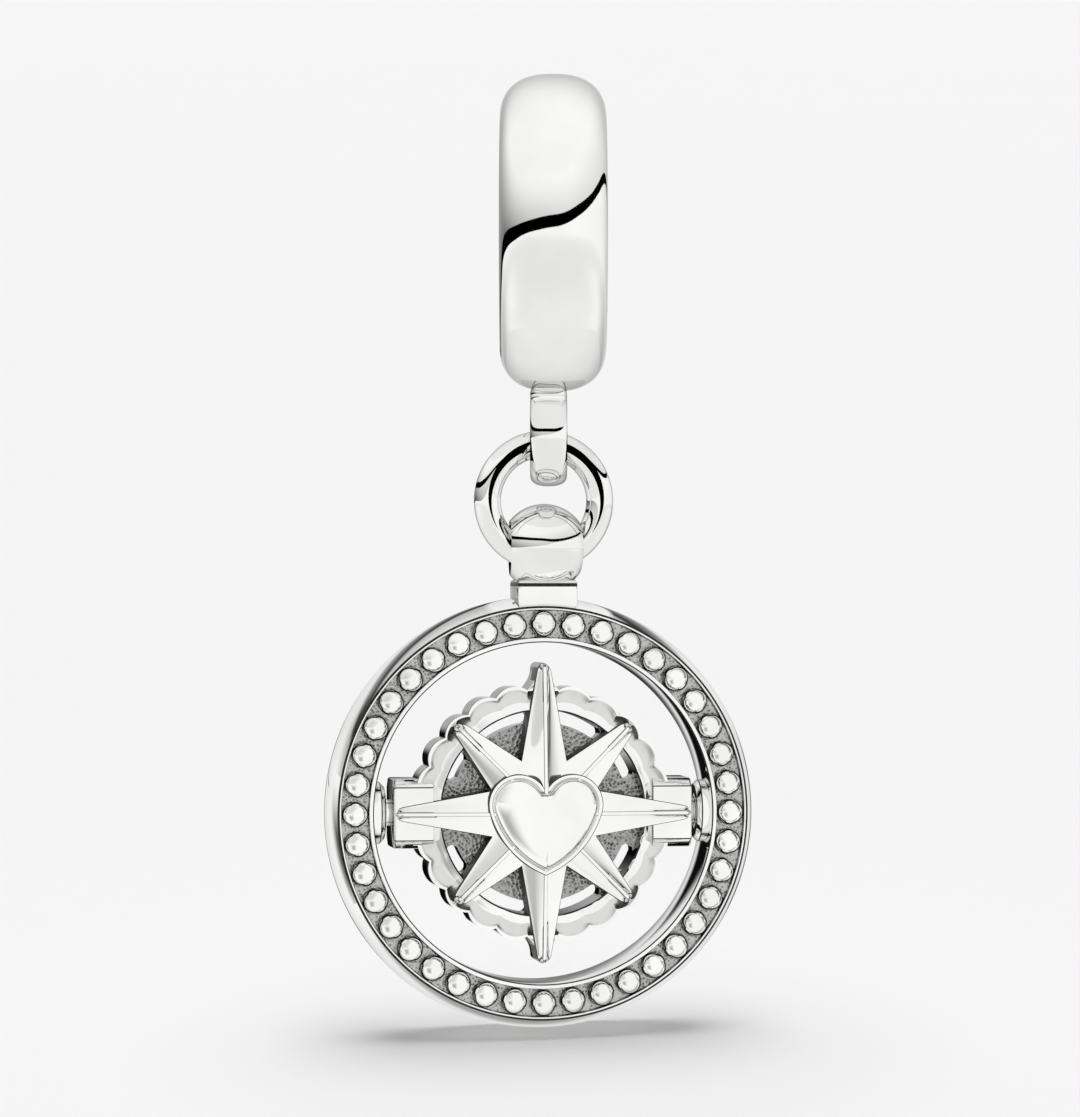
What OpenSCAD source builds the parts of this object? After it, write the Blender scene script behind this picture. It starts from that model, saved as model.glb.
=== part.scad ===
// Compass pendant: a carrier bead with an eye, a jump ring, and a round frame
// in which a compass rose with a heart turns about a level axis.
// The origin is the middle of the bead's hole, +X runs along the hole,
// the front faces -Y and the pendant hangs down -Z.

/* [Carrier bead] */
// Outside diameter of the bead
bead_d = 9.4; // [8:0.1:12]
// Width of the bead along the bracelet
bead_w = 3.16; // [2.8:0.02:5]
// Diameter of the hole for the bracelet
bead_bore_d = 4.6; // [4.2:0.1:5.4]
// Radius of the crown across the rim
bead_crown_r = 3.5; // [2.6:0.1:9]
// Radius of the shoulders beside the crown
bead_shoulder_r = 1.2; // [0.6:0.05:1.3]
// Bevel at each mouth of the hole
bead_bevel = 0.22; // [0.05:0.01:0.4]

/* [Eye under the bead] */
// Width of the eye
eye_w = 1.1; // [0.8:0.05:1.3]
// Diameter of the hole in the eye
eye_hole_d = 1.6; // [1.5:0.05:2.2]
// Thickness of the eye round its hole
eye_wall = 0.65; // [0.6:0.05:0.9]
// Radius that rounds the eye's section
eye_round_r = 0.57; // [0.56:0.01:1]
// Depth that the eye is let into the bead
eye_sink = 0.1; // [0.05:0.01:0.3]
// Distance of the eye from the middle of the bead, along the bracelet
eye_shift = -0.13; // [-0.2:0.01:0.2]

/* [Jump ring] */
// Diameter of the ring's wire
wire_d = 0.8; // [0.6:0.02:0.9]
// Inside diameter of the ring
ring_inner_d = 2.56; // [2.4:0.02:3.4]
// Play between the wire and the floor of the eye's hole
eye_play = 0.2; // [0.16:0.01:0.26]

/* [Bail] */
// Diameter of the ball that forms the bail
ball_d = 2.6; // [2.5:0.02:3]
// Diameter of the hole through the ball
ball_hole_d = 1.6; // [1.56:0.02:1.7]
// Depth of the hole's axis below the middle of the ball
ball_hole_drop = 0.08; // [0:0.01:0.1]
// Play between the wire and the floor of the ball's hole
ball_play = 0.11; // [0.08:0.01:0.2]
// Diameter of the short neck under the ball
neck_d = 1.7; // [1.4:0.02:1.74]
// Height from the top of the base block to the middle of the ball
neck_rise = 1.03; // [0.95:0.01:1.2]
// Width of the base block
base_w = 1.76; // [1.76:0.04:2.4]
// Depth of the base block from front to back
base_depth = 1.9; // [1.6:0.05:2]
// Height of the base block above the frame
base_h = 0.48; // [0.4:0.01:1]
// Bevel round the top of the base block
base_bevel = 0.09; // [0.02:0.01:0.15]
// Distance of the bail beside the frame's middle line
bail_shift = 0.15; // [-0.2:0.01:0.2]

/* [Frame] */
// Outside diameter of the frame at mid depth
frame_d = 12.74; // [11.4:0.02:14.2]
// Width of the frame from its outer wall to its opening
frame_band = 1.35; // [1.3:0.01:1.5]
// Depth of the frame from front to back
frame_depth = 2.2; // [2:0.05:2.8]
// Bulge of the outer wall at mid depth
frame_bulge = 0.3; // [0.05:0.01:0.32]
// Depth of the channel that holds the granules
channel_depth = 0.25; // [0.1:0.01:0.4]
// Turn of the ring and everything below it about the vertical
hang_turn = 8.5; // [-10:0.5:10]
// Distance that the ring and the bail hang beside the middle of the bead
hang_shift = -0.28; // [-0.3:0.01:0.04]

/* [Granules] */
// Number of granules round the frame
granule_count = 40; // [24:1:42]
// Diameter of a granule
granule_d = 0.76; // [0.6:0.01:0.8]
// Distance of the granules' circle inside the outer wall
granule_inset = 0.8; // [0.76:0.01:0.84]
// Height of a granule's middle above the channel floor
granule_rise = 0.12; // [0:0.01:0.25]
// Clear width of the channel beside a granule
granule_gap = 0.03; // [0.01:0.01:0.06]

/* [Pivot] */
// Diameter of the bosses on the frame's inner wall
boss_d = 1.84; // [1.5:0.02:2]
// Length of a boss inside the frame's opening
boss_length = 0.4; // [0.3:0.01:0.5]
// Bevel at the edge of a boss
boss_bevel = 0.14; // [0.05:0.01:0.2]
// Diameter of the pivot pins
pin_d = 0.78; // [0.6:0.02:0.9]
// Running clearance of a pin in its boss, on the radius
pin_run_gap = 0.04; // [0.02:0.01:0.1]
// Clearance of a pin in its lug, on the radius
pin_seat_gap = 0.01; // [0.005:0.005:0.02]
// Depth of the hole in a boss, from the face of the boss
boss_hole_depth = 0.85; // [0.6:0.05:0.95]
// Clearance between the end of a pin and the end of its hole
pin_end_gap = 0.06; // [0.03:0.01:0.1]
// Depth of the hole in a lug
lug_hole_depth = 0.9; // [0.6:0.05:1]

/* [Lugs] */
// Gap between the end of a lug and its boss
lug_gap = 0.19; // [0.14:0.01:0.3]
// Height of a lug
lug_h = 2.04; // [1.6:0.02:2.2]
// Height of the front of a lug above the pivot axis
lug_front = 1.04; // [0.9:0.01:1.1]
// Depth of the back of a lug behind the pivot axis
lug_back = 0.9; // [0.8:0.01:1]
// Bevel along the edges of a lug
lug_bevel = 0.24; // [0.1:0.01:0.3]

/* [Scalloped ring] */
// Gap between the lobes of the ring and the frame's opening
rose_gap = 1.19; // [1.1:0.01:1.4]
// Width of the ring from its lobes to its hollow
rose_band = 0.81; // [0.76:0.01:0.9]
// Number of lobes
lobe_count = 24; // [20:1:28]
// Radius of one lobe
lobe_r = 0.64; // [0.6:0.01:0.8]
// Height of the ring's front above the pivot axis
rose_front = 0.92; // [0.8:0.01:1]
// Depth of the ring's back behind the pivot axis
rose_back = 0.6; // [0.5:0.01:0.8]
// Distance of the groove's circle outside the hollow
groove_inset = 0.34; // [0.3:0.01:0.4]
// Radius of the groove's section
groove_r = 0.3; // [0.2:0.01:0.4]
// Depth of the groove
groove_depth = 0.07; // [0.02:0.01:0.12]

/* [Back plate] */
// Width of the slots round the plate
slot_w = 0.36; // [0.3:0.01:0.4]
// Depth of the plate's face behind the ring's front
plate_drop = 0.72; // [0.5:0.01:0.9]
// Angle from a ray to the near end of the slots beside it
slot_near = 7; // [5:0.5:9]
// Angle from a level ray to the near end of the slots beside it
slot_level = 20; // [18:0.5:24]

/* [Rays] */
// Gap between the tips of the four main rays and the frame's opening
main_gap = 0.6; // [0.5:0.01:0.7]
// Distance of the tips of the four small rays inside the lobes
small_inset = 0.15; // [0.1:0.01:0.3]
// Half width of a main ray where it leaves the heart
main_root_w = 0.72; // [0.6:0.01:0.76]
// Half width of a main ray at its tip
main_tip_w = 0.2; // [0.15:0.01:0.25]
// Half width of a small ray where it leaves the heart
small_root_w = 0.68; // [0.5:0.01:0.7]
// Half width of a small ray at its tip
small_tip_w = 0.18; // [0.12:0.01:0.22]
// Distance from the middle at which the rays have their root width
ray_root = 1.3; // [1.2:0.01:1.4]
// Height of the rays' edges above the ring's front
ray_rise = 0.2; // [0.1:0.01:0.3]
// Slope of a ray's facets, rise for each unit of width
ray_slope = 0.5; // [0.3:0.01:0.6]
// Half width of the web at the foot of an upright tip
web_w = 0.62; // [0.5:0.01:0.7]

/* [Heart] */
// Width of the heart
heart_w = 3.4; // [3.2:0.02:3.6]
// Radius of the heart's lobes
heart_lobe_r = 0.9; // [0.85:0.01:0.95]
// Height of the top of the lobes above the middle
heart_top = 1.17; // [1.05:0.01:1.25]
// Depth of the heart's point below the middle
heart_point = 1.8; // [1.7:0.01:1.9]
// Height of the heart's edge above the ring's front
heart_edge = 0.6; // [0.5:0.01:0.7]
// Height of the heart's dome above its edge
heart_dome = 0.42; // [0.2:0.01:0.6]

/* [Hidden] */
$fn = 96;
slack = 0.5;

bead_r = bead_d / 2;
eye_hole_r = eye_hole_d / 2;
eye_outer_r = eye_hole_r + eye_wall;
eye_z = -(bead_r - eye_sink + eye_outer_r);

wire_r = wire_d / 2;
ring_mean_r = ring_inner_d / 2 + wire_r;
swing_z = eye_z - eye_hole_r + wire_r + eye_play;
ring_z = swing_z - ring_mean_r;
link_z = ring_z - ring_mean_r;

ball_r = ball_d / 2;
ball_hole_z = link_z - wire_r - ball_play + ball_hole_d / 2;
ball_z = ball_hole_z + ball_hole_drop;
base_z = ball_z - neck_rise;
frame_r = frame_d / 2;
opening_r = frame_r - frame_band;
frame_front = frame_depth / 2;
frame_z = base_z - base_h - frame_r;
ball_rise = ball_z - frame_z;
hole_rise = ball_hole_z - frame_z;
base_rise = base_z - frame_z;

bulge_r = (pow(frame_front, 2) + pow(frame_bulge, 2)) / (2 * frame_bulge);
granule_r = granule_d / 2;
granule_circle_r = frame_r - granule_inset;
channel_in = granule_circle_r - granule_r - granule_gap;
channel_out = granule_circle_r + granule_r + granule_gap;
channel_floor = frame_front - channel_depth;

boss_face = opening_r - boss_length;
lug_end = boss_face - lug_gap;
pin_out = boss_face + boss_hole_depth - pin_end_gap;
pin_in = lug_end - lug_hole_depth + pin_end_gap;

rose_r = opening_r - rose_gap;
lobe_circle_r = rose_r - lobe_r;
hollow_r = rose_r - rose_band;
groove_circle_r = hollow_r + groove_inset;
plate_front = rose_front - plate_drop;
plate_r = hollow_r - slot_w;
slot_mid_r = (plate_r + hollow_r) / 2;
slot_half = slot_w / 2;
main_reach = opening_r - main_gap;
small_reach = rose_r - small_inset;
ray_edge = rose_front + ray_rise;
heart_level = rose_front + heart_edge;

// Places its children on the drop: local X level, local Y up, local Z to the front
module on_drop() {
    translate([0, 0, frame_z]) rotate([0, 0, hang_turn]) translate([hang_shift - bail_shift, 0, 0])
        rotate([90, 0, 0]) children();
}

// Turns a child that is round about Z so that it is round about X
module along_x() {
    rotate([0, 90, 0]) children();
}

// Section of the bead: distance from the bore's axis by distance along it
module bead_section() {
    side = bead_w / 2;
    shoulder_h = side - bead_shoulder_r;
    crown_c = bead_r - bead_crown_r;
    reach = bead_crown_r - bead_shoulder_r;
    shoulder_c = crown_c + sqrt(reach * reach - shoulder_h * shoulder_h);
    meet_h = bead_crown_r * shoulder_h / reach;
    bore_r = bead_bore_d / 2;
    translate([bore_r, -side + bead_bevel]) square([shoulder_c - bore_r, bead_w - 2 * bead_bevel]);
    translate([bore_r + bead_bevel, -side]) square([shoulder_c - bore_r - bead_bevel, bead_w]);
    polygon([
        [bore_r, side - bead_bevel],
        [bore_r + bead_bevel, side],
        [shoulder_c, 0],
        [bore_r + bead_bevel, -side],
        [bore_r, -side + bead_bevel]
    ]);
    for (s = [-1, 1]) translate([shoulder_c, s * shoulder_h]) circle(bead_shoulder_r);
    intersection() {
        translate([crown_c, 0]) circle(bead_crown_r);
        translate([bore_r + bead_bevel, -meet_h]) square([bead_r, 2 * meet_h]);
    }
}

// Ring of the eye, its section a flat band rounded by a circle
module eye_ring() {
    mid_r = eye_hole_r + eye_wall / 2;
    rotate_extrude() intersection() {
        translate([eye_hole_r, -eye_w / 2]) square([eye_wall, eye_w]);
        translate([mid_r, 0]) circle(eye_round_r);
    }
}

module carrier_bead() {
    color("silver") union() {
        along_x() rotate_extrude() bead_section();
        translate([eye_shift, 0, eye_z]) along_x() eye_ring();
    }
}

module jump_ring() {
    color("silver") translate([0, 0, ring_z]) rotate([0, 0, hang_turn]) translate([hang_shift, 0, 0])
        rotate([90, 0, 0]) rotate_extrude() translate([ring_mean_r, 0]) circle(wire_r);
}

// Plain ring of the frame, with a bulging outer wall
module frame_blank() {
    rotate_extrude() intersection() {
        translate([opening_r, -frame_front]) square([frame_r, frame_depth]);
        translate([frame_r - bulge_r, 0]) circle(bulge_r);
    }
}

// Block between the frame and the bail, bevelled round its top
module base_block() {
    foot = frame_r - frame_bulge - slack / 2;
    rise = base_rise - base_bevel;
    translate([bail_shift - base_w / 2, foot, -base_depth / 2]) cube([base_w, rise - foot, base_depth]);
    translate([bail_shift - base_w / 2 + base_bevel, foot, -base_depth / 2 + base_bevel])
        cube([base_w - 2 * base_bevel, base_rise - foot, base_depth - 2 * base_bevel]);
}

// Ball of the bail and the short neck under it, upright
module bail_blank() {
    neck_r = neck_d / 2;
    neck_top = sqrt(ball_r * ball_r - neck_r * neck_r) - slack / 4;
    translate([bail_shift, ball_rise, 0]) rotate([-90, 0, 0]) {
        sphere(ball_r);
        translate([0, 0, -neck_rise - base_bevel])
            cylinder(r = neck_r, h = neck_rise + base_bevel - neck_top);
    }
}

// Channel round the front of the frame
module channel() {
    translate([0, 0, channel_floor]) rotate_extrude()
        translate([channel_in, 0]) square([channel_out - channel_in, channel_depth + slack]);
}

module granules() {
    for (i = [0 : granule_count - 1]) rotate(90 + 360 * i / granule_count)
        translate([granule_circle_r, 0, channel_floor + granule_rise]) sphere(granule_r);
}

// Boss on the inner wall, on the +X side
module boss() {
    foot = channel_in - boss_face;
    translate([boss_face, 0, 0]) along_x() {
        cylinder(r1 = boss_d / 2 - boss_bevel, r2 = boss_d / 2, h = boss_bevel);
        translate([0, 0, boss_bevel]) cylinder(r = boss_d / 2, h = foot - boss_bevel);
    }
}

module frame() {
    color("silver") on_drop() difference() {
        union() {
            difference() {
                union() {
                    frame_blank();
                    base_block();
                    bail_blank();
                }
                channel();
                translate([bail_shift - ball_r, hole_rise, 0]) along_x()
                    cylinder(r = ball_hole_d / 2, h = ball_d);
            }
            granules();
            boss();
            mirror([1, 0, 0]) boss();
        }
        for (s = [0, 1]) mirror([s, 0, 0]) translate([boss_face - slack, 0, 0]) along_x()
            cylinder(r = pin_d / 2 + pin_run_gap, h = slack + boss_hole_depth);
    }
}

// Scalloped outline: a disc with a ring of lobes
module scallop() {
    circle(lobe_circle_r);
    for (i = [0 : lobe_count - 1]) rotate(360 * i / lobe_count)
        translate([lobe_circle_r, 0]) circle(lobe_r);
}

// One arc slot with round ends, from angle a to angle b
module arc_slot(a, b) {
    far = hollow_r / cos((b - a) / 2) + slack;
    intersection() {
        difference() {
            circle(hollow_r);
            circle(plate_r);
        }
        polygon([[0, 0], far * [cos(a), sin(a)], far * [cos((a + b) / 2), sin((a + b) / 2)],
            far * [cos(b), sin(b)]]);
    }
    for (t = [a, b]) rotate(t) translate([slot_mid_r, 0]) circle(slot_half);
}

// Eight slots round the back plate, two in each quarter
module slots() {
    round_end = asin(slot_half / slot_mid_r);
    for (m = [0, 1]) mirror([m, 0]) for (n = [0, 1]) mirror([0, n]) {
        arc_slot(slot_level + round_end, 45 - slot_near - round_end);
        arc_slot(45 + slot_near + round_end, 90 - slot_near - round_end);
    }
}

// Ring and back plate in one, the plate lying deeper
module rose_body() {
    translate([0, 0, -rose_back]) linear_extrude(rose_back + plate_front) difference() {
        scallop();
        slots();
    }
    translate([0, 0, plate_front]) linear_extrude(rose_front - plate_front) difference() {
        scallop();
        circle(hollow_r);
    }
}

// Shallow groove round the front of the ring
module groove() {
    translate([0, 0, rose_front + groove_r - groove_depth]) rotate_extrude()
        translate([groove_circle_r, 0]) circle(groove_r);
}

// One lug on the +X side, a block bevelled along its edges
module lug() {
    half = lug_h / 2;
    start = hollow_r + slack / 2;
    translate([start, 0, 0]) rotate([90, 0, 90]) linear_extrude(lug_end - start) polygon([
        [-half, -lug_back + lug_bevel],
        [-half + lug_bevel, -lug_back],
        [half - lug_bevel, -lug_back],
        [half, -lug_back + lug_bevel],
        [half, lug_front - lug_bevel],
        [half - lug_bevel, lug_front],
        [-half + lug_bevel, lug_front],
        [-half, lug_front - lug_bevel]
    ]);
}

// Ray along +X: upright sides, two facets that meet in a ridge, a square tip
module ray(reach, root_w, tip_w) {
    points = [for (end = [[0, root_w + ray_root * (root_w - tip_w) / (reach - ray_root)], [reach, tip_w]])
        let (x = end[0], w = end[1]) each [
            [x, -w, plate_front - slack / 4],
            [x, w, plate_front - slack / 4],
            [x, w, ray_edge],
            [x, 0, ray_edge + ray_slope * w],
            [x, -w, ray_edge]
        ]];
    polyhedron(points, [
        [0, 1, 2, 3, 4],
        [9, 8, 7, 6, 5],
        [0, 5, 6, 1],
        [1, 6, 7, 2],
        [2, 7, 8, 3],
        [3, 8, 9, 4],
        [4, 9, 5, 0]
    ]);
}

// Web at the foot of an upright tip, along +Y, its sides hollow arcs
module tip_web() {
    foot = lobe_circle_r;
    steps = 8;
    side = [for (i = [0 : steps]) let (t = i / steps)
        [main_tip_w + (web_w - main_tip_w) * pow(1 - t, 2), foot + t * (main_reach - foot)]];
    other = [for (i = [steps : -1 : 0]) [-side[i][0], side[i][1]]];
    translate([0, 0, -rose_back]) linear_extrude(rose_back + rose_front) {
        polygon(concat(side, other));
        translate([0, main_reach]) circle(main_tip_w);
    }
}

// Outline of the heart as points, from the notch round the right side to the point and back
function heart_outline(n) = let (
    lobe_x = heart_w / 2 - heart_lobe_r,
    lobe_y = heart_top - heart_lobe_r,
    start = acos(-lobe_x / heart_lobe_r),
    turn = -17,
    u = [cos(turn), sin(turn)],
    d = [-lobe_x, -heart_point - lobe_y],
    side_r = (d * d + pow(heart_lobe_r, 2) - 2 * heart_lobe_r * (d * u)) / (2 * (heart_lobe_r - d * u)),
    side_c = [lobe_x, lobe_y] - (side_r - heart_lobe_r) * u,
    finish = atan2(-heart_point - side_c[1], -side_c[0]),
    lobe = [for (i = [0 : n - 1]) let (a = start + (turn - start) * i / n)
        [lobe_x, lobe_y] + heart_lobe_r * [cos(a), sin(a)]],
    side = [for (i = [0 : n - 1]) let (a = turn + (finish - turn) * i / n)
        side_c + side_r * [cos(a), sin(a)]],
    right = concat(lobe, side),
    left = [for (i = [len(right) - 1 : -1 : 1]) [-right[i][0], right[i][1]]]
) concat(right, [[0, -heart_point]], left);

// Heart: upright sides and a puffed face, as rings of the outline drawn in
module heart() {
    outline = heart_outline(14);
    n = len(outline);
    rings = 7;
    levels = concat([[1, plate_front - slack / 4]], [for (k = [0 : rings - 1]) let (s = cos(90 * k / rings))
        [s, heart_level + heart_dome * sqrt(1 - s * s)]]);
    points = concat(
        [for (l = levels) for (p = outline) [p[0] * l[0], p[1] * l[0], l[1]]],
        [[0, 0, heart_level + heart_dome]]
    );
    sides = [for (k = [0 : rings - 1]) for (i = [0 : n - 1]) let (j = (i + 1) % n)
        each [[k * n + i, k * n + j, (k + 1) * n + j], [k * n + i, (k + 1) * n + j, (k + 1) * n + i]]];
    top = [for (i = [0 : n - 1]) [rings * n + i, rings * n + (i + 1) % n, len(points) - 1]];
    polyhedron(points, concat([[for (i = [n - 1 : -1 : 0]) i]], sides, top));
}

module compass_rose() {
    color("gainsboro") on_drop() difference() {
        union() {
            difference() {
                rose_body();
                groove();
            }
            for (m = [0, 1]) mirror([m, 0, 0]) lug();
            for (m = [0, 1]) mirror([0, m, 0]) tip_web();
            for (a = [0 : 90 : 270]) rotate(a) ray(main_reach, main_root_w, main_tip_w);
            for (a = [45 : 90 : 315]) rotate(a) ray(small_reach, small_root_w, small_tip_w);
            heart();
        }
        for (m = [0, 1]) mirror([m, 0, 0]) translate([lug_end - lug_hole_depth, 0, 0]) along_x()
            cylinder(r = pin_d / 2 + pin_seat_gap, h = lug_hole_depth + slack);
    }
}

// Pin on the +X side of the drop
module pin() {
    translate([pin_in, 0, 0]) along_x() cylinder(r = pin_d / 2, h = pin_out - pin_in);
}

module pivot_pin_left() {
    color("silver") on_drop() mirror([1, 0, 0]) pin();
}

module pivot_pin_right() {
    color("silver") on_drop() pin();
}

carrier_bead();
jump_ring();
frame();
compass_rose();
pivot_pin_left();
pivot_pin_right();
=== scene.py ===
import math

import bmesh
import bpy
import numpy as np
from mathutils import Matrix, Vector


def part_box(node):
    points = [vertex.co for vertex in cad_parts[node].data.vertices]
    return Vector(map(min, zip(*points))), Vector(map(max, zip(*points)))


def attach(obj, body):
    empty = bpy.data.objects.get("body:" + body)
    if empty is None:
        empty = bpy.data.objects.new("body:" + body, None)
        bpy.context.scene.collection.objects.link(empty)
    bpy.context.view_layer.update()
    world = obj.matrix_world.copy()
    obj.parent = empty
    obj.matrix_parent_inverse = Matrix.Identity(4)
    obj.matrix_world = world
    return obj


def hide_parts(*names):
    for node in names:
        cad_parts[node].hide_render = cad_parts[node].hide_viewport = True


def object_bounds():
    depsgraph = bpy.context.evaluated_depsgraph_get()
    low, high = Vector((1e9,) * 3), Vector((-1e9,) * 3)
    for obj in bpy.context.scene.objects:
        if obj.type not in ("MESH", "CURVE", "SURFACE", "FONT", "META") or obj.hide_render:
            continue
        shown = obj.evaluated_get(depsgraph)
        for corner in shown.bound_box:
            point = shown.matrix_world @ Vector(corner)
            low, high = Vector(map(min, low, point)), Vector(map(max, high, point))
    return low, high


# Compass pendant in polished sterling silver: bead, eye, jump ring, granulated frame and turning rose.
# Sizes are millimetres in the dictionaries and become metres in layMesh.

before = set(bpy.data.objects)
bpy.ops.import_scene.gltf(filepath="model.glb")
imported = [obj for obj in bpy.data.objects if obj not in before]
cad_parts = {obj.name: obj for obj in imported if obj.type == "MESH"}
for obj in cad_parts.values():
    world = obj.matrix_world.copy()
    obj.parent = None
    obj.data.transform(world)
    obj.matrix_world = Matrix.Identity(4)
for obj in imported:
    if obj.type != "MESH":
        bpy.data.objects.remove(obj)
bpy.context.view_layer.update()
print("frame loaded:", len(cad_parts), "CAD nodes")

millimetre = 0.001
imageSize = {"width": 1080, "height": 1117}  # the photograph's own frame


# Where things are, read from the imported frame

def boxMiddle(node):
    low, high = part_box(node)
    return np.array((low + high) / 2) / millimetre


pinLeft, pinRight = boxMiddle("pivot_pin_left"), boxMiddle("pivot_pin_right")
dropMiddle = (pinLeft + pinRight) / 2
levelWay = (pinRight - pinLeft) / np.linalg.norm(pinRight - pinLeft)
upWay = np.array([0.0, 0.0, 1.0])
frontWay = np.cross(levelWay, upWay)
ringMiddle = boxMiddle("jump_ring")


# On the drop: local x runs level, y up and z out of the front
def onDrop(points):
    return dropMiddle + points[..., :1] * levelWay + points[..., 1:2] * upWay + points[..., 2:3] * frontWay


# Turns a shape that is round about z so that it is round about x
def alongX(points):
    return points[..., [2, 0, 1]]


def moved(points, x=0.0, y=0.0, z=0.0):
    return points + np.array([x, y, z])


# Mesh helpers

# Rounds every corner of closed outlines (..., corners, 2): each corner becomes an arc tangent to its two
# sides, swept between the tangent points by spherical interpolation round the arc's centre
def roundCorners(corners, radius, steps=5):
    p = np.asarray(corners, float)
    toBefore, toAfter = np.roll(p, 1, -2) - p, np.roll(p, -1, -2) - p
    toBefore /= np.linalg.norm(toBefore, axis=-1, keepdims=True)
    toAfter /= np.linalg.norm(toAfter, axis=-1, keepdims=True)
    half = np.arccos(np.clip((toBefore * toAfter).sum(-1), -1, 1)) / 2
    r = np.broadcast_to(radius, half.shape)
    inward = toBefore + toAfter
    inward /= np.linalg.norm(inward, axis=-1, keepdims=True)
    centre = p + inward * (r / np.sin(half))[..., None]
    start = p + toBefore * (r / np.tan(half))[..., None] - centre
    end = p + toAfter * (r / np.tan(half))[..., None] - centre
    sweep = (math.pi - 2 * half)[..., None, None]
    t = np.linspace(0, 1, steps)[:, None]
    arc = np.sin((1 - t) * sweep) * start[..., None, :] + np.sin(t * sweep) * end[..., None, :]
    arc /= np.sin(sweep)
    return (centre[..., None, :] + arc).reshape(*p.shape[:-2], -1, 2)


# Turns a closed profile of (distance from the axis, height along it) round z: row k stands at angle k
def lathe(profile, segments):
    angle = np.linspace(0, 2 * math.pi, segments, endpoint=False)[:, None]
    rho, height = profile[:, 0], profile[:, 1]
    return np.stack([rho * np.cos(angle), rho * np.sin(angle), height + 0 * angle], -1)


# Vertices and faces of a grid: rows by columns, closed either way, each open end of the rows met by a pole
def gridShell(grid, closeRows=True, closeColumns=True, poles=(), material=None):
    rows, columns = grid.shape[:2]
    index = np.arange(rows * columns).reshape(rows, columns)
    a = index if closeRows else index[:-1]
    b = np.roll(index, -1, 0) if closeRows else index[1:]
    quads = np.stack([a, np.roll(a, -1, 1), np.roll(b, -1, 1), b], -1)
    if not closeColumns:
        quads = quads[:, :-1]
    faces = quads.reshape(-1, 4).tolist()
    slots = np.broadcast_to(0 if material is None else material, quads.shape[:2]).ravel().tolist()
    points = grid.reshape(-1, 3)
    first, last = slots[0], slots[-1]
    for row, pole, slot in zip((index[0], index[-1]), poles, (first, last)):
        fan = np.stack([row, np.roll(row, -1), np.full(columns, len(points))], -1)
        points = np.vstack([points, np.reshape(pole, (1, 3))])
        faces += fan.tolist()
        slots += [slot] * columns
    return points, faces, slots


# Ball of radius 1 without its poles: rows of latitude by columns of longitude
def unitBall(rings, segments):
    latitude = np.linspace(-math.pi / 2, math.pi / 2, rings + 2)[1:-1, None]
    longitude = np.linspace(0, 2 * math.pi, segments, endpoint=False)[None]
    ball = np.stack([
        np.cos(latitude) * np.cos(longitude),
        np.cos(latitude) * np.sin(longitude),
        np.sin(latitude) + 0 * longitude,
    ], -1)
    return ball, latitude


# Rounded edge of radius v: how far each step lies below the top, and how far it is drawn in
def roundedEdge(v, steps=5):
    turn = np.linspace(0, math.pi / 2, steps)
    return v * (1 - np.sin(turn)), v * (1 - np.cos(turn))


# Outlines, each one at its own level along z
def stacked(outlines, levels):
    return np.concatenate([outlines, levels[:, None, None] + 0 * outlines[..., :1]], -1)


# Copies of one shell at many places, as one shell
def repeated(shell, offsets):
    points, faces, slots = shell
    copies = points[None] + offsets[:, None]
    many = [[i + k * len(points) for i in f] for k in range(len(offsets)) for f in faces]
    return copies.reshape(-1, 3), many, slots * len(offsets)


# Puts shells into one mesh object that rides on a CAD body and stands for its node
def layMesh(name, shells, materials, body, node, crease=32):
    points, faces, slots, count = [], [], [], 0
    for p, f, s in shells:
        points.append(p)
        faces += [[i + count for i in face] for face in f]
        slots += s
        count += len(p)
    mesh = bpy.data.meshes.new(name)
    mesh.from_pydata(np.vstack(points) * millimetre, [], faces)
    for m in materials:
        mesh.materials.append(m)
    mesh.polygons.foreach_set("material_index", slots)
    work = bmesh.new()
    work.from_mesh(mesh)
    bmesh.ops.recalc_face_normals(work, faces=work.faces)
    work.to_mesh(mesh)
    work.free()
    mesh.shade_smooth()
    mesh.set_sharp_from_angle(angle=math.radians(crease))
    piece = bpy.data.objects.new(name, mesh)
    bpy.context.scene.collection.objects.link(piece)
    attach(piece, body)
    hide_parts(node)


# Materials

# sRGB hex to the linear colour that shaders take
def linear(hexColour):
    channels = [int(hexColour[i:i + 2], 16) / 255 for i in (1, 3, 5)]
    return [c / 12.92 if c <= 0.04045 else ((c + 0.055) / 1.055) ** 2.4 for c in channels] + [1.0]


# Adds a node; inputs take a value or another node's output socket
def addNode(tree, kind, inputs=None, **settings):
    node = tree.nodes.new(kind)
    for key, value in settings.items():
        setattr(node, key, value)
    for key, value in (inputs or {}).items():
        if isinstance(value, bpy.types.NodeSocket):
            tree.links.new(value, node.inputs[key])
        else:
            node.inputs[key].default_value = value
    return node


def newMaterial(name):
    material = bpy.data.materials.new(name)
    material.use_nodes = True
    tree = material.node_tree
    tree.nodes.clear()
    return material, tree


# Pattern scale for a feature of this many millimetres on Object coordinates in metres
def perMetre(size):
    return 1 / (size * millimetre)


# Silver in the tones of a colour ramp, over a height pattern that is so many millimetres deep
def finishMetal(tree, tone, roughness, height, depth, edgeTint="#FFFFFF"):
    bump = addNode(tree, "ShaderNodeBump", {
        "Height": height, "Strength": 1.0, "Distance": depth * millimetre,
    })
    metal = addNode(tree, "ShaderNodeBsdfPrincipled", {
        "Base Color": tone.outputs["Color"],
        "Metallic": 1.0,
        "Roughness": roughness,
        "Specular Tint": linear(edgeTint),
        "Normal": bump.outputs["Normal"],
    })
    addNode(tree, "ShaderNodeOutputMaterial", {"Surface": metal.outputs["BSDF"]})


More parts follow.
